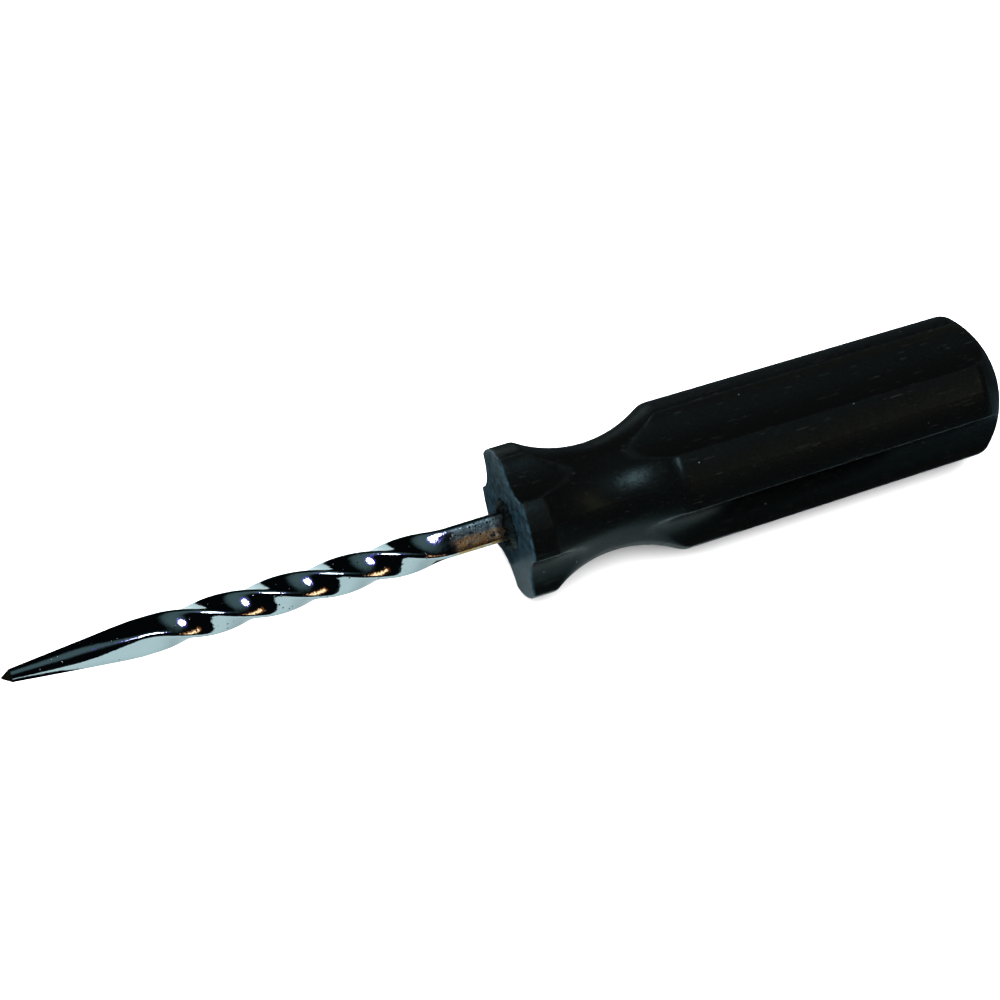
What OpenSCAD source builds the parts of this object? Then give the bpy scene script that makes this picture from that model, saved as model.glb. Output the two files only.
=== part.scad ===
// Tyre plug insertion tool: a twisted square probe fixed in a fluted handle.
// Millimetres. The tool lies on two ridges of its grip, with its axis along X.
// x = 0 is the collar's front face, the point is at -X, and z = 0 is the surface that it lies on.

/* [Shank] */
// Side of the square bar
bar_w = 6.25; // [4:0.05:10]
// Radius of the bar's corners
bar_round = 0.8; // [0.4:0.1:1.6]
// From the collar's face to the point
shank_reach = 110; // [95:1:160]
// Square stretch left straight in front of the collar
root_len = 13; // [6:0.5:20]
// Length of the twisted stretch
twist_len = 67.5; // [50:0.5:80]
// Turn of the whole twist, right-handed, in degrees
twist_turn = 405; // [180:1:630]
// Length at each end over which the twist builds up
twist_ease = 6; // [1:0.5:12]
// Length of the round taper, as far as the bare point
taper_len = 27; // [20:0.5:40]
// Length of the bare point
nose_len = 2; // [1:0.1:4]
// Diameter of the taper where the bare point begins
nose_d = 2.9; // [2:0.1:4]
// Diameter of the blunt end of the point
blunt_d = 0.4; // [0.2:0.1:1]
// Length of the tang inside the handle
tang_len = 60; // [30:1:80]
// Chamfer round the tang's end
tang_chamfer = 0.8; // [0.2:0.1:1.2]
// Turn of the bar's flats from the middle of a lobe, in degrees
bar_turn = -11; // [-45:1:45]

/* [Handle] */
// Length of the handle
handle_len = 110; // [100:1:140]
// Diameter of the collar over its ridges
collar_d = 32.5; // [28:0.2:38]
// Width of the collar's land
collar_w = 5.4; // [3:0.2:9]
// Diameter of the waist at its narrowest
waist_d = 23.4; // [19:0.2:26]
// Radius of the waist's sweep along the handle
waist_sweep_r = 26; // [18:0.5:32]
// Diameter of the grip over its ridges, at its front
grip_front_d = 32; // [28:0.2:38]
// Diameter of the grip over its ridges, at its rear
grip_rear_d = 30.6; // [27:0.1:38]
// Radius of the shoulder between the grip and the domed end
shoulder_r = 3; // [1:0.5:6]
// Radius of the domed end
dome_r = 20; // [17:0.5:40]

/* [Flutes] */
// Number of flutes
flutes = 4; // [3:1:6]
// Radius of a flute's hollow
flute_r = 9.2; // [7:0.1:12]
// Depth of a flute below the grip's ridges
flute_depth = 3.5; // [1.5:0.1:4]

/* [Socket] */
// Adhesive between the bar's corners and the socket's wall
glue_gap = 1.1; // [0.2:0.1:2]
// Adhesive behind the tang's end
glue_behind = 2; // [0.5:0.5:5]
// How far the bead stands proud of the collar's face
bead_h = 0.6; // [0.2:0.1:1.5]

/* [Hidden] */

// Overshoot of a cut past the face that it opens
cut = 1;
// Points along one flat and round one corner of the bar, and steps from the root to the bare point
flat_points = 3;
corner_points = 5;
shank_steps = 92;

collar_r = collar_d / 2;
waist_r = waist_d / 2;
grip_front_r = grip_front_d / 2;
grip_rear_r = grip_rear_d / 2;

// The waist is a ring-shaped cut that starts at the collar's rear edge.
waist_ring_r = waist_r + waist_sweep_r;
function waist_half(r) = sqrt(waist_sweep_r ^ 2 - (waist_ring_r - r) ^ 2);
waist_x = collar_w + waist_half(collar_r);
grip_x = waist_x + waist_half(grip_front_r);

// The shoulder touches the grip's cone outside and the dome inside.
taper_angle = atan((grip_front_r - grip_rear_r) / (handle_len - grip_x));
shoulder_mid_r = grip_rear_r - shoulder_r * cos(taper_angle);
dome_mid_x = handle_len - dome_r;
shoulder_mid_x = dome_mid_x + sqrt((dome_r - shoulder_r) ^ 2 - shoulder_mid_r ^ 2);
grip_end_x = shoulder_mid_x + shoulder_r * sin(taper_angle);
grip_slope = (grip_front_r - grip_rear_r) / (grip_end_x - grip_x);
shoulder_angle = atan(shoulder_mid_r / (shoulder_mid_x - dome_mid_x));

// A flute's axis follows the grip's taper.
flute_mid_r = grip_front_r - flute_depth + flute_r;
flute_tilt = atan(grip_slope);
flute_face_r = flute_mid_r + grip_x * grip_slope;
// Half of the angle that a flute spans on the collar's face, and the height of the axis when it lies on two ridges
ridge_angle = acos((collar_r ^ 2 + flute_face_r ^ 2 - flute_r ^ 2) / (2 * collar_r * flute_face_r));
axis_h = collar_r * cos(ridge_angle);
lobe_turn = 180 / flutes;

bar_half = bar_w / 2;
bar_corner_r = sqrt(2) * (bar_half - bar_round) + bar_round;
socket_r = bar_corner_r + glue_gap;
socket_len = tang_len + glue_behind;
nose_at = shank_reach - nose_len;
taper_at = nose_at - taper_len;

// A quarter of the bar's section: points along one flat, then round the corner that ends it.
corner_mid = bar_half - bar_round;
bar_quarter = concat(
    [for (i = [1:flat_points]) [bar_half, corner_mid * (2 * i / (flat_points + 1) - 1)]],
    [
        for (i = [0:corner_points - 1])
            let (t = 90 * i / (corner_points - 1))
            [corner_mid + bar_round * cos(t), corner_mid + bar_round * sin(t)]
    ]
);

// The bar's section brought to half width h, cut down to radius reach and turned by a.
function bar_section(h, reach, a) = [
    for (q = [0:3])
        for (p = bar_quarter)
            let (
                r = min(h / bar_half * norm(p), reach),
                b = a + 90 * q + atan2(p[1], p[0])
            )
            [r * cos(b), r * sin(b)]
];

// Share of the twist's turn reached at t of its length: a rate that builds up, holds and dies away.
function eased(t, e) = (t < e ? t ^ 2 / (2 * e) : t < 1 - e ? t - e / 2 : 1 - e - (1 - t) ^ 2 / (2 * e)) / (1 - e);
function held(t) = max(0, min(1, t));
bar_angle = 90 + lobe_turn + bar_turn;

// The bar's turn, and the radius that the taper leaves of it, at distance d in front of the collar.
function turn_at(d) = bar_angle - twist_turn * eased(held((d - root_len) / twist_len), twist_ease / twist_len);
function taper_reach(d) = bar_corner_r + (nose_d / 2 - bar_corner_r) * held((d - taper_at) / taper_len);

// Each ring of the shank: [x, half width, reach, turn], from the tang's end to the point.
shank_rings = concat(
    [
        [tang_len, bar_half - tang_chamfer, bar_corner_r, bar_angle],
        [tang_len - tang_chamfer, bar_half, bar_corner_r, bar_angle],
        [0, bar_half, bar_corner_r, bar_angle]
    ],
    [
        for (i = [0:shank_steps])
            let (d = root_len + (nose_at - root_len) * i / shank_steps)
            [-d, bar_half, taper_reach(d), turn_at(d)]
    ],
    [[-shank_reach, bar_half, blunt_d / 2, turn_at(shank_reach)]]
);

// Lays a shape that was drawn upright along X, at the height of the tool's axis.
module along_axis() {
    translate([0, 0, axis_h]) rotate([0, 90, 0]) children();
}

// Half of the handle's outline: radius across, place along the handle upwards.
module handle_outline() {
    difference() {
        union() {
            square([collar_r, waist_x]);
            polygon([
                [0, waist_x],
                [grip_front_r + grip_slope * (grip_x - waist_x), waist_x],
                [grip_rear_r, grip_end_x],
                [shoulder_mid_r, shoulder_mid_x],
                [0, shoulder_mid_x]
            ]);
            translate([shoulder_mid_r, shoulder_mid_x]) circle(r = shoulder_r, $fn = 96);
            intersection() {
                translate([0, dome_mid_x]) circle(r = dome_r, $fn = 192);
                polygon([
                    [0, dome_mid_x],
                    [2 * dome_r * sin(shoulder_angle), dome_mid_x + 2 * dome_r * cos(shoulder_angle)],
                    [0, dome_mid_x + 2 * dome_r]
                ]);
            }
        }
        translate([waist_ring_r, waist_x]) circle(r = waist_sweep_r, $fn = 192);
    }
}

// One flute's cutter, at radius flute_mid_r where the grip begins.
module flute_cutter() {
    translate([flute_mid_r, 0, grip_x])
        rotate([0, -flute_tilt, 0])
            translate([0, 0, -grip_x - cut])
                cylinder(r = flute_r, h = handle_len + 2 * cut + flute_r, $fn = 128);
}

// Moulded handle, with the round socket that takes the tang.
module handle() {
    color([0.07, 0.07, 0.08])
        along_axis()
            difference() {
                rotate_extrude($fn = 192) handle_outline();
                for (i = [0:flutes - 1]) rotate([0, 0, 360 / flutes * i]) flute_cutter();
                translate([0, 0, -cut]) cylinder(r = socket_r, h = socket_len + cut, $fn = 96);
            }
}

// Twisted and tapered bar, with its tang.
module shank() {
    per_ring = 4 * (flat_points + corner_points);
    last = len(shank_rings) - 1;
    points = [
        for (ring = shank_rings)
            for (p = bar_section(ring[1], ring[2], ring[3]))
                [ring[0], p[0], p[1] + axis_h]
    ];
    walls = [
        for (k = [0:last - 1])
            for (i = [0:per_ring - 1])
                let (j = (i + 1) % per_ring, here = k * per_ring, there = here + per_ring)
                each [[here + i, here + j, there + j], [here + i, there + j, there + i]]
    ];
    tang_end = [for (i = [per_ring - 1:-1:0]) i];
    point_end = [for (i = [0:per_ring - 1]) last * per_ring + i];
    color([0.78, 0.8, 0.83]) polyhedron(points, concat(walls, [tang_end, point_end]));
}

// Potting round the tang, with the bead at the socket's mouth.
module adhesive() {
    color([0.16, 0.15, 0.15])
        difference() {
            along_axis() {
                cylinder(r = socket_r, h = socket_len, $fn = 96);
                translate([0, 0, -bead_h])
                    cylinder(r1 = socket_r - bead_h, r2 = socket_r, h = bead_h, $fn = 96);
            }
            translate([-bead_h - cut, 0, axis_h])
                rotate([90, 0, 90])
                    linear_extrude(height = tang_len + bead_h + cut)
                        polygon(bar_section(bar_half, bar_corner_r, bar_angle));
        }
}

handle();
shank();
adhesive();
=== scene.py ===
"""The looks of a tyre plug insertion tool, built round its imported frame.

X runs along the tool from the point to the handle's domed end, Z is up, and the tool lies on two ridges of
its handle with the collar's front face at x = 0. Sizes are in millimetres until a mesh is made, and angles in
degrees. A section angle is measured about the tool's axis from +Y towards +Z.
"""

import logging
import math
from dataclasses import dataclass, field
from enum import Enum

import bpy
import numpy as np
from mathutils import Matrix, Vector


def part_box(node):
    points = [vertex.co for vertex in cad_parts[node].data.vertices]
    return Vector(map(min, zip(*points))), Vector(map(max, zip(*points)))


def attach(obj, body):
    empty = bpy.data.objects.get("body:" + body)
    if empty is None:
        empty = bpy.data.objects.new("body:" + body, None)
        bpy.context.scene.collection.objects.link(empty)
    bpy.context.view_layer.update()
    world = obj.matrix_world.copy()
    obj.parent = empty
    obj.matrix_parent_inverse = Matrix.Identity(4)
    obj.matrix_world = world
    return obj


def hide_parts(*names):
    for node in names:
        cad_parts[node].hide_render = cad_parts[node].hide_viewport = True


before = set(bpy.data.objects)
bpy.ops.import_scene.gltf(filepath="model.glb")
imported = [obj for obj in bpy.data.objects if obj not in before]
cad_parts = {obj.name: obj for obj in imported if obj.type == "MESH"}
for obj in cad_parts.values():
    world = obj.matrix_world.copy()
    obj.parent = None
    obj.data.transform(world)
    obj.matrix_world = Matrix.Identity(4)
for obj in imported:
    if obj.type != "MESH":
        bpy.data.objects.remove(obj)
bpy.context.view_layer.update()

MM = 0.001
LOG = logging.getLogger("plug_tool")

Array = np.ndarray
Colour = tuple[float, float, float]
Place = tuple[float, float, float]


# ---------------------------------------------------------------- formulas


def smooth_min(a: Array, b: Array, reach: Array | float) -> Array:
    """The lesser of a and b, with the corner between them rounded off.

    Formula: min(a, b) less reach/4 times the square of h, where h falls from 1 where a equals b to 0 where
    they differ by reach.

    Args:
        a: First surface.
        b: Second surface.
        reach: Difference at which the rounding ends.

    Returns:
        The rounded lesser surface.
    """
    h = np.maximum(reach - np.abs(a - b), 0.0) / reach
    return np.minimum(a, b) - h * h * reach / 4.0


def crowded(count: int, share: float) -> Array:
    """Steps from 0 up to, not including, 1 that crowd towards both ends.

    Formula: t - share * sin(2 pi t) / (2 pi), for count even values of t.

    Args:
        count: Number of steps.
        share: How strongly they crowd, from 0 for even steps to under 1.

    Returns:
        The steps, rising.
    """
    t = np.arange(count) / count
    return t - share * np.sin(2.0 * math.pi * t) / (2.0 * math.pi)


def stretches(stops: list[float], steps: list[float]) -> Array:
    """Places from the first stop to the last, even within each stretch between two stops.

    Args:
        stops: Ends of the stretches, rising.
        steps: Wanted spacing in each stretch.

    Returns:
        The places, each stop among them once.
    """
    pieces = [
        np.linspace(a, b, max(1, round((b - a) / step)), endpoint=False)
        for a, b, step in zip(stops, stops[1:], steps)
    ]
    return np.concatenate([*pieces, [stops[-1]]])


def ripples(angle: Array, waves: int, seed: int, fall: float = 0.8) -> Array:
    """A closed irregular wave round a circle, about -1 to 1.

    Formula: the sum over n of cos(n * angle + phase) times a random share over n to the power fall, divided by
    the square root of the sum of the squared shares.

    Args:
        angle: Section angles in degrees.
        waves: Number of waves, from one to this many per turn.
        seed: Seed of the random phases and shares.
        fall: How fast the finer waves fall off.

    Returns:
        The wave at each angle.
    """
    rng = np.random.default_rng(seed)
    n = np.arange(1, waves + 1)
    share = rng.uniform(0.5, 1.0, waves) / n**fall
    phase = rng.uniform(0.0, 2.0 * math.pi, waves)
    turns = np.cos(np.radians(angle)[..., None] * n + phase) @ share
    return turns / math.sqrt(float(np.sum(share**2)))


# ---------------------------------------------------------------- meshes


@dataclass
class Skin:
    """A closed surface made of rings round the tool's axis, with a pole at each end."""

    name: str
    x: Array
    radius: Array
    angle: Array
    axis_height: float
    marks: dict[str, Array] = field(default_factory=dict)
    sway: Array | None = None

    def points(self) -> Array:
        """Each ring's points in metres.

        Formula: (x, radius * cos(angle), axis height + radius * sin(angle)), plus the ring's sway across the
        axis.

        Returns:
            An array of rings by columns by 3.
        """
        turn = np.radians(self.angle)
        grid = np.stack(
            [
                np.broadcast_to(self.x, self.radius.shape),
                self.radius * np.cos(turn),
                self.axis_height + self.radius * np.sin(turn),
            ],
            axis=-1,
        )
        if self.sway is not None:
            grid[..., 1:] += self.sway[:, None, :]
        return grid * MM

    def build(self) -> bpy.types.Object:
        """Makes the mesh object, smooth, with outward faces.

        Returns:
            The object, linked to the scene, at the origin.
        """
        grid = self.points()
        rows, columns = grid.shape[:2]
        poles = np.stack([grid[0].mean(0), grid[-1].mean(0)])
        verts = np.concatenate([grid.reshape(-1, 3), poles])
        ring = np.arange(rows * columns).reshape(rows, columns)
        along = np.roll(ring, -1, axis=1)
        quads = np.stack([ring[:-1], along[:-1], along[1:], ring[1:]], axis=-1).reshape(-1, 4)
        first, last = rows * columns, rows * columns + 1
        fan_a = np.stack([np.full(columns, first), along[0], ring[0]], axis=-1)
        fan_b = np.stack([np.full(columns, last), ring[-1], along[-1]], axis=-1)
        fans = np.concatenate([fan_a, fan_b])
        if self._volume(verts, quads, fans) < 0.0:
            quads, fans = quads[:, ::-1], fans[:, ::-1]
        mesh = bpy.data.meshes.new(self.name)
        loops = np.concatenate([quads.ravel(), fans.ravel()])
        sizes = np.concatenate([np.full(len(quads), 4), np.full(len(fans), 3)])
        mesh.vertices.add(len(verts))
        mesh.vertices.foreach_set("co", verts.astype(np.float32).ravel())
        mesh.loops.add(len(loops))
        mesh.loops.foreach_set("vertex_index", loops.astype(np.int32))
        mesh.polygons.add(len(sizes))
        mesh.polygons.foreach_set("loop_start", (np.cumsum(sizes) - sizes).astype(np.int32))
        mesh.update(calc_edges=True)
        mesh.validate()
        mesh.polygons.foreach_set("use_smooth", np.ones(len(mesh.polygons), bool))
        for name, values in self.marks.items():
            self._mark(mesh, name, values)
        piece = bpy.data.objects.new(self.name, mesh)
        bpy.context.scene.collection.objects.link(piece)
        return piece

    @staticmethod
    def _volume(verts: Array, quads: Array, fans: Array) -> float:
        """Signed volume inside the faces: a sixth of the sum of each triangle's triple product.

        Args:
            verts: The points.
            quads: Faces of four points.
            fans: Faces of three points.

        Returns:
            The volume, positive where the faces point outwards.
        """
        tris = np.concatenate([quads[:, :3], quads[:, [0, 2, 3]], fans])
        a, b, c = (verts[tris[:, k]] for k in range(3))
        return float(np.einsum("ij,ij->", a, np.cross(b, c)) / 6.0)

    @staticmethod
    def _mark(mesh: bpy.types.Mesh, name: str, values: Array) -> None:
        """Stores a number per point, with the rings' mean at the poles.

        Args:
            mesh: The mesh that gets the attribute.
            name: The attribute's name.
            values: A number for each of the rings' points, rings by columns.
        """
        full = np.concatenate([values.ravel(), [values[0].mean(), values[-1].mean()]])
        mesh.attributes.new(name, "FLOAT", "POINT").data.foreach_set("value", full.astype(np.float32))


# ---------------------------------------------------------------- shader maths


class Wire:
    """A socket that carries numbers. Python's arithmetic on it adds Math nodes."""

    def __init__(self, graph: "Graph", socket: bpy.types.NodeSocket) -> None:
        """Keeps the graph that the socket belongs to."""
        self.graph = graph
        self.socket = socket

    def _math(self, operation: str, *values: object, clamp: bool = False) -> "Wire":
        """One Math node with this operation on these values."""
        settings = {"operation": operation, "use_clamp": clamp}
        return self.graph.node("ShaderNodeMath", settings, dict(enumerate(values)))

    def __add__(self, other: object) -> "Wire":
        """self + other."""
        return self._math("ADD", self, other)

    __radd__ = __add__

    def __sub__(self, other: object) -> "Wire":
        """self - other."""
        return self._math("SUBTRACT", self, other)

    def __rsub__(self, other: object) -> "Wire":
        """other - self."""
        return self._math("SUBTRACT", other, self)

    def __mul__(self, other: object) -> "Wire":
        """self * other."""
        return self._math("MULTIPLY", self, other)

    __rmul__ = __mul__

    def held(self) -> "Wire":
        """self held within 0 and 1."""
        return self._math("ADD", self, 0.0, clamp=True)

    def at_least(self, other: object) -> "Wire":
        """The greater of self and other."""
        return self._math("MAXIMUM", self, other)

    def rise(self, low: float, high: float) -> "Wire":
        """A smooth step, which falls instead of rising where low is above high.

        Args:
            low: Value at which it starts from 0.
            high: Value at which it reaches 1.

        Returns:
            The step, from 0 to 1.
        """
        if low > high:
            return 1.0 - self.rise(high, low)
        settings = {"interpolation_type": "SMOOTHSTEP"}
        return self.graph.node("ShaderNodeMapRange", settings, {0: self, 1: low, 2: high, 3: 0.0, 4: 1.0})


class Graph:
    """A node tree, with what finishes and surroundings share."""

    def __init__(self, tree: bpy.types.NodeTree) -> None:
        """Empties the tree."""
        self.tree = tree
        self.tree.nodes.clear()

    def node(self, kind: str, settings: dict, inputs: dict, output: int | str = 0) -> Wire:
        """Adds one node.

        Args:
            kind: The node's type.
            settings: Properties to set first.
            inputs: A value, colour or Wire for each socket, by its number or name.
            output: The output wanted, by number or name.

        Returns:
            That output.
        """
        made = self.tree.nodes.new(kind)
        for name, value in settings.items():
            setattr(made, name, value)
        for key, value in inputs.items():
            socket = made.inputs[key]
            if isinstance(value, Wire):
                self.tree.links.new(value.socket, socket)
            elif isinstance(value, tuple) and socket.type == "RGBA" and len(value) == 3:
                socket.default_value = (*value, 1.0)
            else:
                socket.default_value = value
        return Wire(self, made.outputs[output])

    def blend(self, share: object, low: object, high: object) -> Wire:
        """The colour low where share is 0 and high where it is 1."""
        settings = {"data_type": "RGBA", "clamp_factor": True}
        return self.node("ShaderNodeMix", settings, {0: share, 6: low, 7: high}, 2)

    def end(self, kind: str, surface: Wire) -> None:
        """Adds the tree's output node, of this type, and leads the surface to it."""
        output = self.tree.nodes.new(kind)
        self.tree.links.new(surface.socket, output.inputs["Surface"])


class FinishGraph(Graph):
    """A material's node tree, with the patterns that the finishes share, on places in millimetres."""

    def __init__(self, name: str) -> None:
        """Makes an empty material with this name."""
        self.material = bpy.data.materials.new(name)
        self.material.use_nodes = True
        super().__init__(self.material.node_tree)
        metres = self.node("ShaderNodeTexCoord", {}, {}, "Object")
        self.place = self.node("ShaderNodeVectorMath", {"operation": "SCALE"}, {0: metres, 3: 1.0 / MM})

    def along(self, axis: str) -> Wire:
        """Place in millimetres along one axis: X, Y or Z."""
        return self.node("ShaderNodeSeparateXYZ", {}, {0: self.place}, axis)

    def mapped(self, scale: Place, turn: Place = (0.0, 0.0, 0.0)) -> Wire:
        """Place in millimetres, scaled and turned by degrees."""
        angles = tuple(math.radians(a) for a in turn)
        return self.node("ShaderNodeMapping", {}, {"Vector": self.place, "Rotation": angles, "Scale": scale})

    def noise(self, where: Wire, scale: float, detail: float, rough: float, bend: float = 0.0) -> Wire:
        """Fractal noise, about 0.5 in the mean, with scale waves to the millimetre."""
        inputs = {"Vector": where, "Scale": scale, "Detail": detail, "Roughness": rough, "Distortion": bend}
        return self.node("ShaderNodeTexNoise", {}, inputs, 0)

    def scattered(self, scale: float) -> tuple[Wire, Wire]:
        """Points scattered with scale of them to the millimetre.

        Args:
            scale: Points to the millimetre.

        Returns:
            The distance to the nearest point, and that point's random share from 0 to 1.
        """
        settings, inputs = {"feature": "F1"}, {"Vector": self.place, "Scale": scale}
        near = self.node("ShaderNodeTexVoronoi", settings, inputs, "Distance")
        colour = self.node("ShaderNodeTexVoronoi", settings, inputs, "Color")
        return near, self.node("ShaderNodeSeparateColor", {}, {0: colour}, 0)

    def bump(self, height: Wire, depth: float, under: Wire | None = None) -> Wire:
        """Relief in millimetres.

        Args:
            height: Height, for a depth of 1.
            depth: What the height is multiplied by.
            under: An earlier relief that this one lies over.

        Returns:
            The turned normal.
        """
        inputs: dict = {"Height": height, "Distance": depth * MM, "Strength": 1.0}
        if under is not None:
            inputs["Normal"] = under
        return self.node("ShaderNodeBump", {}, inputs)

    def finish(self, inputs: dict) -> bpy.types.Material:
        """Ends the tree in a Principled surface with these inputs.

        Args:
            inputs: The Principled node's values and Wires by name.

        Returns:
            The material.
        """
        self.end("ShaderNodeOutputMaterial", self.node("ShaderNodeBsdfPrincipled", {}, inputs))
        return self.material


# ---------------------------------------------------------------- finishes


@dataclass(frozen=True)
class HandlePlastic:
    """Black moulded plastic with a soft sheen. The collar's face is scuffed and has a bluish reflection painted
    into its colour, and the ridges have edge wear with a painted edge highlight.
    """

    slot: str = "handle_plastic"
    black: Colour = (0.0008, 0.0009, 0.0009)
    # Scuffs on the collar's face, with a painted bluish reflection of the floor.
    scuff_and_reflection: Colour = (0.0085, 0.0250, 0.0370)
    dust: Colour = (0.045, 0.050, 0.046)
    # Edge wear with a painted edge highlight on the ridges, lighter than the black.
    wear_and_highlight: Colour = (0.030, 0.042, 0.043)
    sheen_rough: float = 0.29
    gloss: float = 0.14
    gloss_tint: Colour = (0.52, 0.88, 0.88)
    index: float = 1.5
    face_depth: float = 0.55
    flow_depth: float = 0.10
    skin_depth: float = 0.045
    grain_depth: float = 0.009
    ridge_mark: str = "ridge"
    scratch_lines: tuple[tuple[Place, float], ...] = (
        ((0.0, 12.0, 8.0), 0.705),
        ((35.0, 0.0, -28.0), 0.715),
        ((-20.0, 40.0, 62.0), 0.72),
    )

    def material(self) -> bpy.types.Material:
        """Makes the plastic.

        Returns:
            The material.
        """
        g = FinishGraph(self.slot)
        cloud = g.noise(g.place, 0.12, 3.0, 0.6)
        grain = g.noise(g.place, 9.0, 2.0, 0.6)
        face = g.along("X").rise(self.face_depth, 0.05)
        rubbed = g.noise(g.mapped((1.0, 1.0, 1.0), (20.0, 0.0, 0.0)), 0.55, 5.0, 0.65, 0.4)
        # Scuffs and painted reflection on the collar's face, patchy where it is rubbed.
        scuff_and_reflection_mask = face * (0.18 + 0.82 * rubbed.rise(0.38, 0.62))
        speck = self._specks(g)
        scratch = self._scratches(g)
        ridge = g.node("ShaderNodeAttribute", {"attribute_name": self.ridge_mark}, {}, "Fac")
        # Edge wear with a painted edge highlight along the ridges, patchy where rubbed.
        edge_wear_and_highlight = ridge * (0.35 + 0.65 * rubbed.rise(0.38, 0.62))
        colour = g.blend(edge_wear_and_highlight, self.black, self.wear_and_highlight)
        colour = g.blend(scuff_and_reflection_mask, colour, self.scuff_and_reflection)
        colour = g.blend(speck * 0.8, colour, self.dust)
        colour = g.blend(scratch * 0.10, colour, self.dust)
        uneven = 0.10 * (cloud - 0.5) + 0.07 * (grain - 0.5)
        rough = self.sheen_rough + uneven + 0.10 * scuff_and_reflection_mask + 0.15 * scratch
        flow = g.bump(g.noise(g.place, 0.22, 2.0, 0.5), self.flow_depth)
        skin = g.bump(g.noise(g.place, 1.1, 4.0, 0.6), self.skin_depth, flow)
        marks = scratch * 0.5 + speck * 2.0 + grain * 0.8 + rubbed * face * 6.0
        relief = g.bump(marks, self.grain_depth, skin)
        gloss = {"Specular IOR Level": self.gloss, "Specular Tint": self.gloss_tint, "IOR": self.index}
        return g.finish({"Base Color": colour, "Roughness": rough.held(), "Normal": relief, **gloss})

    @staticmethod
    def _specks(g: FinishGraph) -> Wire:
        """Sparse specks of dust: near a scattered point whose random share is high.

        Args:
            g: The plastic's tree.

        Returns:
            1 on a speck and 0 off it.
        """
        near, share = g.scattered(0.28)
        return near.rise(0.06, 0.03) * share.rise(0.72, 0.74)

    def _scratches(self, g: FinishGraph) -> Wire:
        """Fine scratches in three directions: the crests of noise drawn out along each.

        Args:
            g: The plastic's tree.

        Returns:
            1 on a scratch and 0 off it.
        """
        total: Wire | None = None
        for turn, keep in self.scratch_lines:
            lines = g.noise(g.mapped((0.06, 1.0, 1.0), turn), 3.0, 2.0, 0.5)
            crest = lines.rise(keep, keep + 0.03)
            total = crest if total is None else total.at_least(crest)
        return total


@dataclass(frozen=True)
class ShankPlating:
    """Bright plating over drawn bar: stained and pitted at the root, with the stain's colour split by side as a
    painted reflection, bare at the point.
    """

    slot: str = "shank_plating"
    bright: Colour = (0.42, 0.485, 0.50)
    # Stain colours with painted reflections in them: bronze on the bar's lower side, smoky teal on its upper
    # side.
    bronze_stain_reflection: Colour = (0.42, 0.27, 0.11)
    smoky_stain_reflection: Colour = (0.15, 0.25, 0.26)
    fleck: Colour = (0.42, 0.52, 0.50)
    bare: Colour = (0.22, 0.19, 0.125)
    pit: Colour = (0.008, 0.008, 0.009)
    polish_rough: float = 0.05
    facet_depth: float = 0.10
    wave_depth: float = 0.035
    fine_depth: float = 0.022
    pit_depth: float = 0.05

    def material(self, shank: "Shank", nose_x: float) -> bpy.types.Material:
        """Makes the plating.

        Args:
            shank: The bar that it covers, for the place of its root.
            nose_x: Where the bare point begins, along X.

        Returns:
            The material.
        """
        g = FinishGraph(self.slot)
        x = g.along("X")
        wander = g.noise(g.place, 0.9, 3.0, 0.6) - 0.5
        root = (x + wander * 3.0).rise(-shank.root_length - 1.5, -shank.root_length + 1.5)
        collar = (x + wander * 3.0).rise(-4.6, -2.6)
        # The bar's upper side gets the smoky painted reflection and its lower side the bronze one.
        side = math.radians(shank.bar_angle - 90.0)
        height = g.along("Y") * math.cos(side) + (g.along("Z") - shank.axis_height) * math.sin(side)
        upper_reflection_side = (height + wander * 1.4).rise(-0.5, 0.7)
        stain = g.noise(g.mapped((0.55, 1.0, 1.0)), 0.8, 5.0, 0.7)
        patch = root * stain.rise(0.24, 0.52)
        pits = self._pits(g, root, collar)
        point = (x + wander * 1.2).rise(nose_x + 0.15, nose_x - 0.15)
        # Root stain, coloured by side as a painted reflection.
        stain_reflection_tint = g.blend(upper_reflection_side, self.bronze_stain_reflection, self.smoky_stain_reflection)
        colour = g.blend(patch, self.bright, stain_reflection_tint)
        flecks = root * g.noise(g.place, 2.2, 4.0, 0.7, 0.3).rise(0.56, 0.63)
        colour = g.blend(flecks, colour, self.fleck)
        colour = g.blend(pits.at_least(collar * 0.92), colour, self.pit)
        colour = g.blend(point, colour, self.bare)
        rough = self.polish_rough + 0.19 * patch + 0.3 * collar + 0.35 * point + 0.3 * pits
        ground = x.rise(nose_x + shank.taper_length, nose_x + 0.6 * shank.taper_length)
        facets = g.bump(g.noise(g.place, 0.22, 0.0, 0.5) * ground, self.facet_depth)
        wave = g.bump(g.noise(g.place, 0.5, 2.0, 0.5), self.wave_depth, facets)
        fine = g.bump(g.noise(g.place, 1.6, 3.0, 0.6), self.fine_depth, wave)
        pitted = g.bump(pits, -self.pit_depth, fine)
        inputs = {"Base Color": colour, "Metallic": 1.0, "Roughness": rough.held(), "Normal": pitted}
        return g.finish(inputs)

    @staticmethod
    def _pits(g: FinishGraph, root: Wire, collar: Wire) -> Wire:
        """Small pits, sparse along the bar and thick at its root.

        A pit lies near a scattered point whose random share is high.

        Args:
            g: The plating's tree.
            root: 1 on the bar's root.
            collar: 1 on the last few millimetres before the collar.

        Returns:
            1 in a pit and 0 off it.
        """
        near, share = g.scattered(1.5)
        many = (share + 0.24 * root + 0.3 * collar).rise(0.93, 0.97)
        return near.rise(0.34, 0.18) * many


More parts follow.
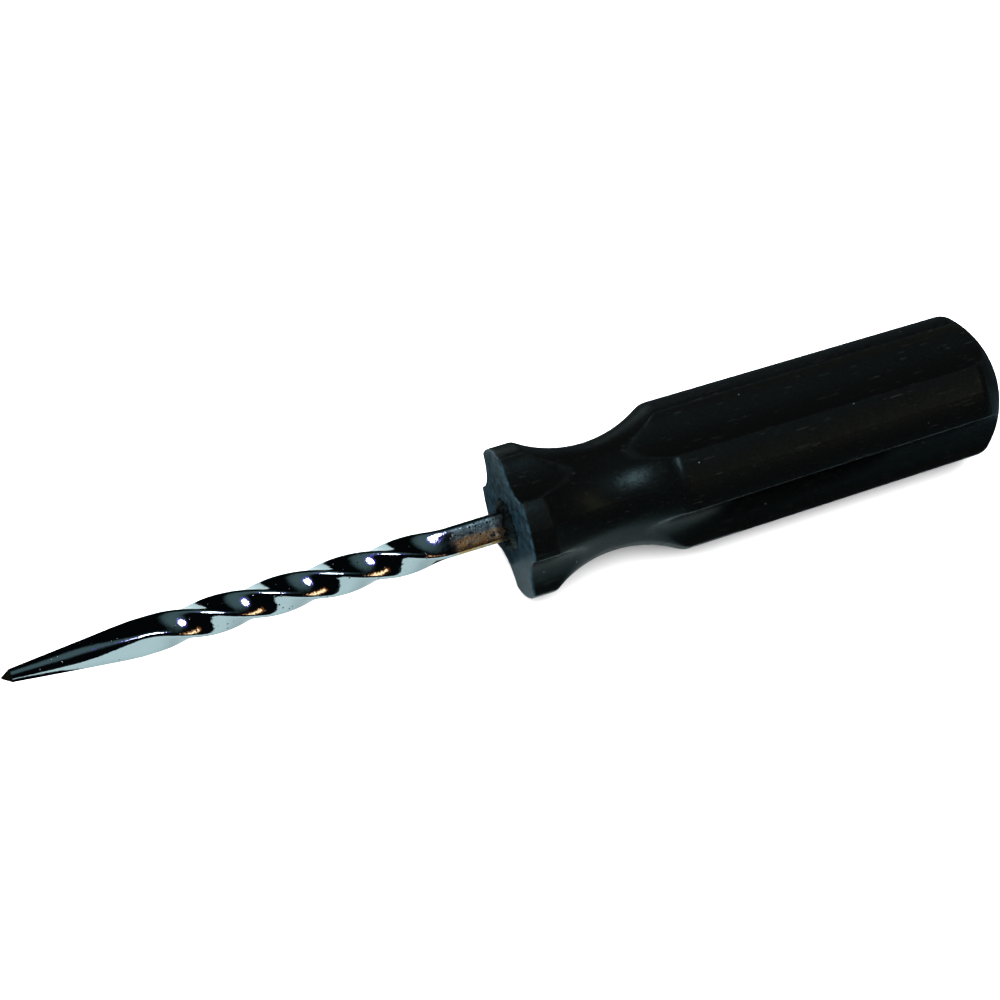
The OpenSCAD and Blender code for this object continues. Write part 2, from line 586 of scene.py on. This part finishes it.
@dataclass(frozen=True)
class SetAdhesive:
    """Dark adhesive that set rough."""

    slot: str = "adhesive"
    dark: Colour = (0.0008, 0.0008, 0.0008)
    pale: Colour = (0.006, 0.011, 0.013)
    gloss: float = 0.22
    gloss_tint: Colour = (0.5, 0.9, 0.9)
    lump_depth: float = 0.25
    fine_depth: float = 0.05

    def material(self) -> bpy.types.Material:
        """Makes the adhesive.

        Returns:
            The material.
        """
        g = FinishGraph(self.slot)
        lumps = g.noise(g.place, 1.6, 4.0, 0.65)
        fine = g.noise(g.place, 6.0, 3.0, 0.6)
        colour = g.blend((lumps * fine).rise(0.30, 0.42), self.dark, self.pale)
        rough = 0.28 + 0.35 * fine
        relief = g.bump(fine, self.fine_depth, g.bump(lumps, self.lump_depth))
        inputs = {"Base Color": colour, "Roughness": rough, "Normal": relief}
        return g.finish({**inputs, "Specular IOR Level": self.gloss, "Specular Tint": self.gloss_tint})


# ---------------------------------------------------------------- handle


@dataclass
class Handle:
    """The moulded handle: collar, waist, fluted grip and domed end, with the socket that takes the tang."""

    length: float
    axis_height: float
    collar_radius: float = 16.25
    collar_width: float = 5.4
    waist_radius: float = 11.7
    sweep_radius: float = 26.0
    front_radius: float = 16.0
    rear_radius: float = 15.3
    shoulder_radius: float = 3.0
    dome_radius: float = 20.0
    flutes: int = 4
    flute_radius: float = 9.2
    flute_depth: float = 3.5
    socket_radius: float = 5.19
    socket_length: float = 62.0
    edge_radius: float = 0.5
    ridge_reach: float = 0.42
    ridge_melt: float = 2.2
    # Edge wear with a painted edge highlight on the ridges: its width, the ridge where it is strongest, its
    # spread round the section and its rest elsewhere.
    wear_and_highlight_width: float = 0.50
    wear_and_highlight_angle: float = 155.0
    wear_and_highlight_spread: float = 16.0
    rest_wear_and_highlight: float = 0.03
    corner_reach: float = 0.35
    crest_height: float = 0.12
    crest_width: float = 2.6
    grip_crest: float = 0.25
    flash_height: float = 0.018
    flash_width: float = 0.12
    parting_angle: float = 135.0
    finish: HandlePlastic = field(default_factory=HandlePlastic)

    def __post_init__(self) -> None:
        """Works out the outline's centres and slopes as the frame does."""
        self.ring_radius = self.waist_radius + self.sweep_radius
        self.waist_x = self.collar_width + self._waist_half(self.collar_radius)
        self.grip_x = self.waist_x + self._waist_half(self.front_radius)
        taper = math.atan((self.front_radius - self.rear_radius) / (self.length - self.grip_x))
        self.taper = taper
        self.shoulder_mid_r = self.rear_radius - self.shoulder_radius * math.cos(taper)
        self.dome_mid_x = self.length - self.dome_radius
        inner = self.dome_radius - self.shoulder_radius
        self.shoulder_mid_x = self.dome_mid_x + math.sqrt(inner**2 - self.shoulder_mid_r**2)
        self.grip_end_x = self.shoulder_mid_x + self.shoulder_radius * math.sin(taper)
        self.slope = (self.front_radius - self.rear_radius) / (self.grip_end_x - self.grip_x)
        self.flute_mid = self.front_radius - self.flute_depth + self.flute_radius

    def _waist_half(self, radius: float) -> float:
        """Half the length of the waist's cut where it meets a cylinder of this radius."""
        return math.sqrt(self.sweep_radius**2 - (self.ring_radius - radius) ** 2)

    def _body_outline(self, x: Array) -> Array:
        """Radius of the lathe outline from the collar's land to the grip's end.

        Formula: the land's radius, or past the waist's middle the grip's cone, rounded into the waist's arc,
        which is the ring's radius less the root of (sweep^2 - distance from the waist's middle^2).

        Args:
            x: Places along the handle.

        Returns:
            The radius at each.
        """
        cone = self.front_radius - self.slope * (x - self.grip_x)
        body = np.where(x < self.waist_x, self.collar_radius, cone)
        arc = self.sweep_radius**2 - (x - self.waist_x) ** 2
        waist = self.ring_radius - np.sqrt(np.maximum(arc, 0.0))
        reach = np.where(x < self.waist_x, self.corner_reach, 2.2 * self.corner_reach)
        return smooth_min(body, waist, reach)

    def _outline(self) -> tuple[Array, Array]:
        """Places and radii of the outline's rows, from the land's front to just short of the dome's pole.

        Formula: even places along the land, waist and grip, closer at their corners; then
        (middle + radius * sin(lean), middle + radius * cos(lean)) round the shoulder and the dome.

        Returns:
            Arrays of x and radius.
        """
        w, g = self.collar_width, self.grip_x
        stops = [self.edge_radius, w - 0.7, w + 0.7, g - 2.0, g + 2.0, self.grip_end_x]
        x = stretches(stops, [0.45, 0.1, 0.36, 0.14, 1.0])
        r = self._body_outline(x)
        dx, dr = self.shoulder_mid_x - self.dome_mid_x, self.shoulder_mid_r
        meet = math.atan2(dx, dr)
        lean = np.linspace(self.taper, meet, 14)[1:]
        x_shoulder = self.shoulder_mid_x + self.shoulder_radius * np.sin(lean)
        r_shoulder = self.shoulder_mid_r + self.shoulder_radius * np.cos(lean)
        lean = np.linspace(meet, math.pi / 2.0, 30)[1:-1]
        x_dome = self.dome_mid_x + self.dome_radius * np.sin(lean)
        r_dome = self.dome_radius * np.cos(lean)
        return np.concatenate([x, x_shoulder, x_dome]), np.concatenate([r, r_shoulder, r_dome])

    def _flute_half(self, x: Array, radius: Array) -> Array:
        """Half of the angle that a flute spans at each row, never under the least that the columns need.

        Args:
            x: Place of each row.
            radius: Outline radius of each row.

        Returns:
            The angle at each row.
        """
        least = 8.0
        mid = self.flute_mid - self.slope * (x - self.grip_x)
        cos_half = (radius**2 + mid**2 - self.flute_radius**2) / (2.0 * radius * mid)
        half = np.degrees(np.arccos(np.clip(cos_half, -1.0, 1.0)))
        return least + np.maximum(half - least, 0.0)

    def _columns(self, half: Array) -> Array:
        """Section angle of each column at each row, crowded at the ridges and at the lobes' middles.

        Args:
            half: Half of the flute's angle at each row.

        Returns:
            Angles, rows by columns.
        """
        sector = 360.0 / self.flutes
        lobe_half = sector / 2.0 - half[:, None]
        flute_steps, lobe_steps = 16, 26
        out = 1.0 - (1.0 - np.arange(flute_steps) / flute_steps) ** 1.8
        over = crowded(lobe_steps, share=0.85)
        quarter = half[:, None] * out
        first = half[:, None] + lobe_half * over
        middle = sector / 2.0
        second = middle + lobe_half * (1.0 - np.concatenate([[1.0], over[1:][::-1]]))
        third = sector - half[:, None] * np.concatenate([[1.0], out[1:][::-1]])
        one = np.concatenate([quarter, first, second, third], axis=1)
        return np.concatenate([one + sector * k for k in range(self.flutes)], axis=1)

    def _flute_wall(self, x: Array, angle: Array) -> Array:
        """Distance from the tool's axis to the nearest flute's wall at each section angle.

        Formula: m cos(d) less the root of (flute radius^2 - (m sin(d))^2), with d the angle from the flute's
        middle and m the distance of its axis, which falls with the grip's taper; far off where the angle misses
        the flute.

        Args:
            x: Place of each row.
            angle: Section angles, rows by columns.

        Returns:
            The distance, rows by columns.
        """
        sector = 360.0 / self.flutes
        d = np.radians((angle + sector / 2.0) % sector - sector / 2.0)
        mid = (self.flute_mid - self.slope * (x - self.grip_x))[:, None]
        under = self.flute_radius**2 - (mid * np.sin(d)) ** 2
        wall = mid * np.cos(d) - np.sqrt(np.maximum(under, 0.0))
        return np.where(under > 0.0, wall, 4.0 * self.collar_radius)

    def _parting(self, x: Array, radius: Array, angle: Array) -> Array:
        """Height of the mould's parting line on its two lobes.

        Formula: a crest that falls evenly on both sides and fades from the collar to the grip, plus a fine
        flash that falls as exp(-(s / width)^2), with s the distance round the lobe.

        Args:
            x: Place of each row.
            radius: Outline radius, rows by one.
            angle: Section angles, rows by columns.

        Returns:
            The height, rows by columns.
        """
        turn = (angle - self.parting_angle + 90.0) % 180.0 - 90.0
        s = np.abs(np.radians(turn) * radius)
        strong = np.interp(x, [self.collar_width, self.grip_x], [1.0, self.grip_crest])[:, None]
        crest = strong * self.crest_height * np.maximum(1.0 - s / self.crest_width, 0.0)
        return crest + self.flash_height * np.exp(-((s / self.flash_width) ** 2))

    def _ridge_wear_and_highlight(self, past: Array, angle: Array) -> Array:
        """How rubbed the ridges are, plus a painted edge highlight, most of all on one ridge.

        Formula: a wedge that is 1 where the body meets a flute's wall and 0 a wear's width away, times a share
        that is 1 at the most rubbed and lit ridge and falls to a small rest as exp(-(angle away / spread)^2).

        Args:
            past: Body's radius less the flute's wall, rows by columns.
            angle: Section angles, rows by columns.

        Returns:
            The wear and painted highlight from 0 to 1, rows by columns.
        """
        edge = np.clip(1.0 - np.abs(past) / self.wear_and_highlight_width, 0.0, 1.0)
        wear_and_highlight = np.exp(-(((angle - self.wear_and_highlight_angle) / self.wear_and_highlight_spread) ** 2))
        return edge * (self.rest_wear_and_highlight + (1.0 - self.rest_wear_and_highlight) * wear_and_highlight)

    def build(self) -> bpy.types.Object:
        """Makes the handle, from the socket's floor over the collar's face to the domed end.

        Returns:
            The finished piece, riding on the frame's body.
        """
        x, r = self._outline()
        angle = self._columns(self._flute_half(x, r))
        parting = self._parting(x, r[:, None], angle)
        wall = self._flute_wall(x, angle)
        body = r[:, None] + parting
        melt = np.clip(1.0 - np.abs(x - self.waist_x) / (self.grip_x - self.waist_x), 0.0, 1.0)
        radius = smooth_min(body, wall, (self.ridge_reach + self.ridge_melt * melt)[:, None])
        # Edge wear with a painted edge highlight, stored per point for the plastic.
        edge_wear_and_highlight = self._ridge_wear_and_highlight(body - wall, angle)
        edge_x, edge_r = self._rounded_edge(radius[0])
        face = stretches([0.0, 0.08, 0.92, 1.0], [0.02, 0.12, 0.04])[:, None]
        inner = edge_r[0]
        face_r = self.socket_radius + face[:-1] * (inner - self.socket_radius)
        depth = stretches([0.0, 1.0, self.socket_length], [0.25, 20.0])[::-1]
        socket_r = np.full((len(depth), angle.shape[1]), self.socket_radius)
        columns = angle.shape[1]
        socket_x = np.repeat(depth[:, None], columns, 1)
        all_x = np.concatenate([socket_x, np.zeros_like(face_r), edge_x, np.repeat(x[:, None], columns, 1)])
        all_r = np.concatenate([socket_r, face_r, edge_r, radius])
        lead = len(all_r) - len(angle)
        all_angle = np.concatenate([np.repeat(angle[:1], lead, 0), angle])
        marks = {self.finish.ridge_mark: np.concatenate([np.zeros((lead, columns)), edge_wear_and_highlight])}
        piece = Skin("handle_moulding", all_x, all_r, all_angle, self.axis_height, marks).build()
        return dress(piece, "handle", self.finish.material())

    def _rounded_edge(self, land: Array) -> tuple[Array, Array]:
        """Rows round the collar's front edge, a quarter arc inside the land's first ring.

        Args:
            land: Radius of the land's first ring.

        Returns:
            Arrays of x and radius, rows by columns, from the face to short of the land.
        """
        lean = np.linspace(0.0, math.pi / 2.0, 8)[:-1, None]
        e = self.edge_radius
        x = np.repeat(e * (1.0 - np.cos(lean)), len(land), 1)
        return x, land[None, :] - e * (1.0 - np.sin(lean))


# ---------------------------------------------------------------- shank


@dataclass
class Shank:
    """The square bar: tang, straight root, right-hand twist, taper and bare point."""

    reach: float
    tang_length: float
    axis_height: float
    bar_width: float = 6.25
    corner_radius: float = 0.8
    root_length: float = 13.0
    twist_length: float = 67.5
    twist_turn: float = 405.0
    twist_ease: float = 6.0
    taper_length: float = 27.0
    nose_length: float = 2.0
    nose_width: float = 2.9
    taper_reach: float = 0.5
    blunt_width: float = 0.4
    tang_chamfer: float = 0.8
    bar_angle: float = 124.0
    bend_start: float = 62.0
    bend: tuple[float, float] = (0.34, 0.38)
    finish: ShankPlating = field(default_factory=ShankPlating)

    def section(self) -> tuple[Array, Array]:
        """Radius and section angle of points round the bar, closer at its corners.

        Formula: points of a square whose corners are arcs of the corner radius, as lengths and angles from its
        middle.

        Returns:
            Arrays of radius and angle in degrees.
        """
        half = self.bar_width / 2.0
        mid = half - self.corner_radius
        flat = np.linspace(-mid, mid, 16)[1:-1]
        turn = np.linspace(0.0, math.pi / 2.0, 11)
        y = np.concatenate([np.full(len(flat), half), mid + self.corner_radius * np.cos(turn)])
        z = np.concatenate([flat, mid + self.corner_radius * np.sin(turn)])
        angle = np.degrees(np.arctan2(z, y))
        radius = np.hypot(y, z)
        return np.tile(radius, 4), np.concatenate([angle + 90.0 * k for k in range(4)])

    def _turned(self, x: Array) -> Array:
        """Turn of the bar: the twist builds up over its easing length, holds and dies away.

        Args:
            x: Places along the bar.

        Returns:
            The turn at each.
        """
        t = np.clip((-x - self.root_length) / self.twist_length, 0.0, 1.0)
        e = self.twist_ease / self.twist_length
        rate = np.where(t < e, t * t / (2.0 * e), t - e / 2.0)
        rate = np.where(t > 1.0 - e, 1.0 - e - (1.0 - t) ** 2 / (2.0 * e), rate)
        return self.bar_angle - self.twist_turn * rate / (1.0 - e)

    def _cut(self, x: Array) -> Array:
        """Radius that the taper and the bare point leave at each place.

        Formula: the section's reach over its corners, falling evenly along the taper to the bare point's width,
        and again along the bare point to the blunt end's.

        Args:
            x: Places along the bar.

        Returns:
            The radius at each.
        """
        nose = self.nose_length - self.reach
        full = math.sqrt(2.0) * (self.bar_width / 2.0 - self.corner_radius) + self.corner_radius
        places = [-self.reach, nose, nose + self.taper_length]
        return np.interp(x, places, [self.blunt_width / 2.0, self.nose_width / 2.0, full])

    def _bent(self, x: Array) -> Array:
        """How far the bar is bent out of the axis, growing as the square of the way to the point.

        Args:
            x: Places along the bar.

        Returns:
            The distance across and up at each, places by 2.
        """
        share = np.clip((-x - self.bend_start) / (self.reach - self.bend_start), 0.0, 1.0) ** 2
        return share[:, None] * np.array(self.bend)

    def build(self) -> bpy.types.Object:
        """Makes the bar: its turned square section, narrowed by the tang's chamfer and cut by the taper.

        Returns:
            The finished piece, riding on the frame's body.
        """
        section_r, section_a = self.section()
        nose = self.nose_length - self.reach
        stops = [-self.reach, nose - 0.3, nose + 0.3, -self.root_length, 0.5, self.tang_length]
        x = stretches(stops, [0.1, 0.05, 0.2, 0.4, 6.0])[::-1]
        x = np.concatenate([[x[0], x[0] - self.tang_chamfer], x[1:]])
        tang = np.clip((x - self.tang_length) / self.tang_chamfer + 1.0, 0.0, 1.0)
        square = (1.0 - 2.0 * self.tang_chamfer / self.bar_width * tang)[:, None] * section_r
        radius = smooth_min(square, self._cut(x)[:, None], self.taper_reach)
        angle = self._turned(x)[:, None] + section_a
        piece = Skin("shank_bar", x[:, None], radius, angle, self.axis_height, sway=self._bent(x)).build()
        return dress(piece, "shank", self.finish.material(self, nose))


# ---------------------------------------------------------------- adhesive


@dataclass
class Adhesive:
    """The set adhesive that holds the tang, with its rough bead at the socket's mouth."""

    shank: Shank
    socket_radius: float
    socket_length: float
    axis_height: float
    bead_reach: float = 5.45
    bead_spread: float = 0.34
    bead_height: float = 1.3
    finish: SetAdhesive = field(default_factory=SetAdhesive)

    def build(self) -> bpy.types.Object:
        """Makes the potting and its bead.

        Returns:
            The finished piece, riding on the frame's body.
        """
        columns = 192
        angle = np.arange(columns) * 360.0 / columns
        reach = self.bead_reach + self.bead_spread * ripples(angle, waves=26, seed=5, fall=0.5)
        height = self.bead_height * (1.0 + 0.45 * ripples(angle, waves=16, seed=11, fall=0.5))
        section_r, section_a = self.shank.section()
        order = np.argsort((section_a + self.shank.bar_angle) % 360.0)
        bar_a = ((section_a + self.shank.bar_angle) % 360.0)[order]
        bar = np.interp(angle, bar_a, section_r[order], period=360.0)
        rows = 15
        t = np.linspace(0.0, 1.0, rows)[:, None]
        dome_r = reach + (bar - reach) * t
        lumps = np.stack([ripples(angle + 40.0 * k, waves=20, seed=30 + k) for k in range(rows)])
        rise = np.sin(np.clip(t * 1.35, 0.0, 1.0) * math.pi * 0.5) ** 0.7
        dome_x = -height * rise * (1.0 + 0.15 * lumps * np.sin(math.pi * t))
        outer = stretches([0.0, self.socket_length], [12.0])[::-1]
        wall_r = np.full((len(outer), columns), self.socket_radius)
        inner = stretches([0.0, self.shank.tang_length], [12.0])
        rows_x = [np.repeat(outer[:, None], columns, 1), dome_x, np.repeat(inner[:, None], columns, 1)]
        rows_r = [wall_r, dome_r, np.repeat(bar[None, :], len(inner), 0)]
        piece = Skin(
            "set_adhesive", np.concatenate(rows_x), np.concatenate(rows_r), angle[None, :], self.axis_height
        ).build()
        return dress(piece, "adhesive", self.finish.material())


def dress(piece: bpy.types.Object, node: str, material: bpy.types.Material) -> bpy.types.Object:
    """Gives a piece its material and its place in the frame.

    Args:
        piece: The new piece.
        node: The frame's node that it stands for.
        material: Its finish.

    Returns:
        The piece.
    """
    piece.data.materials.append(material)
    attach(piece, "root")
    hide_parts(node)
    LOG.info("%s: %d points, stands for %s", piece.name, len(piece.data.vertices), node)
    return piece


# ---------------------------------------------------------------- stage


class Shape(Enum):
    """Outline of a light."""

    DISC = "DISK"
    STRIP = "RECTANGLE"


@dataclass(frozen=True)
class LightSpec:
    """One area light: its middle, its outline and its own brightness, which is what a mirror would show."""

    name: str
    shape: Shape
    place: Place
    size: tuple[float, float]
    radiance: float
    colour: Colour = (1.0, 1.0, 1.0)

    def power(self) -> float:
        """Power of the light: pi times its own area times its radiance.

        Returns:
            The power in watts.
        """
        area = self.size[0] * self.size[1] * MM * MM
        if self.shape is Shape.DISC:
            area *= math.pi / 4.0
        return math.pi * area * self.radiance


@dataclass(frozen=True)
class SheetSpec:
    """A part of the floor as reflections show it: its front edge's ends, both edges' places, and its colour,
    which is dark where the sheet is painted shade.
    """

    name: str
    ends: tuple[float, float]
    front: float
    rear: float
    ragged: float
    grey: Colour


@dataclass(frozen=True)
class Studio:
    """The floor, the lights and the camera."""

    axis_height: float
    azimuth: float = -22.007
    elevation: float = 53.999
    roll: float = 1.002
    distance: float = 1000.0
    lens: float = 173.55
    sensor: float = 36.0
    aim_across: float = -1.676
    aim_up: float = 5.016
    floor_half: float = 4000.0
    floor_white: float = 0.90
    daylight: float = 13.0
    daylight_angle: float = 100.0
    sheet_slant: float = 0.36
    sheet_lift: float = 0.1
    sheet_points: int = 401
    edge_held: float = 0.75
    sheets: tuple[SheetSpec, ...] = (
        SheetSpec("floor_by_shank", (-122.0, 22.0), -92.0, 0.0, 30.0, (0.22, 0.268, 0.275)),
        # Painted shade: a dark sheet in front of the handle, so that the handle reflects a shaded floor.
        SheetSpec("painted_shade_by_handle", (22.0, 420.0), -200.0, 0.0, 10.0, (0.022, 0.035, 0.041)),
        SheetSpec("floor_behind_shank", (-90.0, -24.0), 0.0, 4000.0, 0.0, (0.22, 0.268, 0.275)),
        # Painted shade: a dark sheet behind the handle, so that the handle reflects a shaded floor.
        SheetSpec("painted_shade_behind_handle", (-24.0, 420.0), 0.0, 4000.0, 0.0, (0.009, 0.013, 0.015)),
    )
    zenith: Colour = (0.105, 0.170, 0.185)
    horizon: Colour = (0.002, 0.003, 0.004)
    glow_from: float = 0.80
    lights: tuple[LightSpec, ...] = (
        LightSpec("lamp", Shape.DISC, (-26.0, -102.0, 300.0), (80.0, 80.0), 19.0),
        LightSpec("lamp_fringe", Shape.DISC, (-26.0, -102.0, 303.0), (128.0, 128.0), 1.1, (0.17, 0.05, 1.0)),
        LightSpec("cream_strip", Shape.STRIP, (641.0, -690.0, 777.0), (116.0, 760.0), 3.2, (1.0, 0.7, 0.4)),
        LightSpec("amber_strip", Shape.STRIP, (645.0, -720.0, 785.0), (200.0, 1000.0), 0.6, (1.0, 0.3, 0.1)),
    )

    @staticmethod
    def direction(azimuth: float, elevation: float) -> Vector:
        """Unit vector towards an azimuth and elevation; azimuth 0 is -Y and 90 is +X."""
        a, e = math.radians(azimuth), math.radians(elevation)
        return Vector((math.sin(a) * math.cos(e), -math.cos(a) * math.cos(e), math.sin(e)))

    def build(self) -> None:
        """Makes the camera, the floor, the lights and the surroundings."""
        self._camera()
        self._floor()
        self._daylight()
        for spec in self.lights:
            self._light(spec)
        self._surroundings()
        bpy.context.scene.view_settings.view_transform = "Standard"

    def _camera(self) -> None:
        """Stands the camera back along its direction, rolled, with its aim beside the collar's face."""
        back = self.direction(self.azimuth, self.elevation)
        a = math.radians(self.azimuth)
        level = Vector((math.cos(a), math.sin(a), 0.0))
        upright = back.cross(level)
        r = math.radians(self.roll)
        across = level * math.cos(r) + upright * math.sin(r)
        up = upright * math.cos(r) - level * math.sin(r)
        aim = Vector((0.0, 0.0, self.axis_height)) + self.aim_across * across + self.aim_up * up
        data = bpy.data.cameras.new("camera")
        data.lens = self.lens
        data.sensor_width = self.sensor
        data.clip_start, data.clip_end = 0.05, 20.0
        camera = bpy.data.objects.new("camera", data)
        place = (aim + self.distance * back) * MM
        camera.matrix_world = Matrix.Translation(place) @ Matrix((across, up, back)).transposed().to_4x4()
        bpy.context.scene.collection.objects.link(camera)
        bpy.context.scene.camera = camera

    def _floor(self) -> None:
        """A plain pale floor that reflections don't show, and the sheets that they show in its place, two of
        them dark as painted shade.
        """
        half = self.floor_half
        corners = np.array([(-half, -half, 0.0), (half, -half, 0.0), (half, half, 0.0), (-half, half, 0.0)])
        g = FinishGraph("floor")
        paint = g.finish({"Base Color": (self.floor_white,) * 3, "Roughness": 0.9, "Specular IOR Level": 0.0})
        floor = self._ground("floor", corners, [(0, 1, 2, 3)], paint)
        floor.visible_glossy = False
        for spec in self.sheets:
            self._sheet(spec)

    def _sheet(self, spec: SheetSpec) -> None:
        """Lays a sheet just over the floor that only reflections show, slanting back as the view does.

        Formula of its front edge: y is its mean place plus a wave made of cosines along x, held at or in front
        of a share of that mean.

        Args:
            spec: The sheet's ends, edges and colour.
        """
        x = np.linspace(*spec.ends, self.sheet_points)
        wave = spec.ragged * ripples(x, waves=20, seed=3, fall=0.2)
        y = np.minimum(spec.front + wave, self.edge_held * spec.front)
        edge = np.stack([x, y, np.full_like(x, self.sheet_lift)], axis=-1)
        rear = edge.copy()
        rear[:, 0] += self.sheet_slant * (spec.rear - y)
        rear[:, 1] = spec.rear
        k = np.arange(len(x) - 1)
        faces = np.stack([k, k + 1, k + 1 + len(x), k + len(x)], axis=-1).tolist()
        g = FinishGraph(spec.name)
        paint = g.finish({"Base Color": spec.grey, "Roughness": 0.9, "Specular IOR Level": 0.0})
        sheet = self._ground(spec.name, np.concatenate([edge, rear]), faces, paint)
        sheet.visible_camera = False
        sheet.visible_diffuse = False
        sheet.visible_shadow = False

    @staticmethod
    def _ground(name: str, corners: Array, faces: list, paint: bpy.types.Material) -> bpy.types.Object:
        """One flat piece of the stage.

        Args:
            name: Its name.
            corners: Its points in millimetres.
            faces: Its faces, by the points' numbers.
            paint: Its material.

        Returns:
            The object, marked as stage.
        """
        mesh = bpy.data.meshes.new(name)
        mesh.from_pydata((corners * MM).tolist(), [], faces)
        mesh.materials.append(paint)
        ground = bpy.data.objects.new(name, mesh)
        bpy.context.scene.collection.objects.link(ground)
        return ground

    def _daylight(self) -> None:
        """Soft even light from overhead, which lights the floor and isn't seen as a highlight."""
        data = bpy.data.lights.new("daylight", "SUN")
        data.energy = self.daylight
        data.angle = math.radians(self.daylight_angle)
        sun = bpy.data.objects.new("daylight", data)
        sun.visible_glossy = False
        bpy.context.scene.collection.objects.link(sun)

    def _light(self, spec: LightSpec) -> None:
        """Stands one area light in its place, facing the tool's middle, with its length along Y.

        Args:
            spec: The light's place, outline and brightness.
        """
        data = bpy.data.lights.new(spec.name, "AREA")
        data.shape = spec.shape.value
        data.size, data.size_y = (side * MM for side in spec.size)
        data.energy = spec.power()
        data.color = spec.colour
        light = bpy.data.objects.new(spec.name, data)
        light.visible_diffuse = False
        place = Vector(spec.place)
        back = (place - Vector((0.0, 0.0, self.axis_height))).normalized()
        length = Vector((0.0, 1.0, 0.0))
        length = (length - length.dot(back) * back).normalized()
        turn = Matrix((length.cross(back), length, back)).transposed().to_4x4()
        light.matrix_world = Matrix.Translation(place * MM) @ turn
        bpy.context.scene.collection.objects.link(light)

    def _surroundings(self) -> None:
        """A dark room with a dim glow overhead, which grows with the height of the direction."""
        world = bpy.data.worlds.new("room")
        world.use_nodes = True
        g = Graph(world.node_tree)
        towards = g.node("ShaderNodeTexCoord", {}, {}, "Generated")
        height = g.node("ShaderNodeSeparateXYZ", {}, {0: towards}, "Z")
        glow = g.blend(height.rise(self.glow_from, 1.0), self.horizon, self.zenith)
        g.end("ShaderNodeOutputWorld", g.node("ShaderNodeBackground", {}, {"Color": glow}))
        bpy.context.scene.world = world


def main() -> None:
    """Builds the tool and its studio, and reports each piece."""
    logging.basicConfig(level=logging.INFO, format="%(name)s: %(message)s")
    handle_box, shank_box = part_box("handle"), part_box("shank")
    axis_height = (handle_box[0].z + handle_box[1].z) / 2.0 / MM
    handle = Handle((handle_box[1].x - handle_box[0].x) / MM, axis_height)
    shank = Shank(-shank_box[0].x / MM, shank_box[1].x / MM, axis_height)
    Studio(axis_height).build()
    handle.build()
    shank.build()
    Adhesive(shank, handle.socket_radius, handle.socket_length, axis_height).build()


if __name__ == "__main__":
    main()
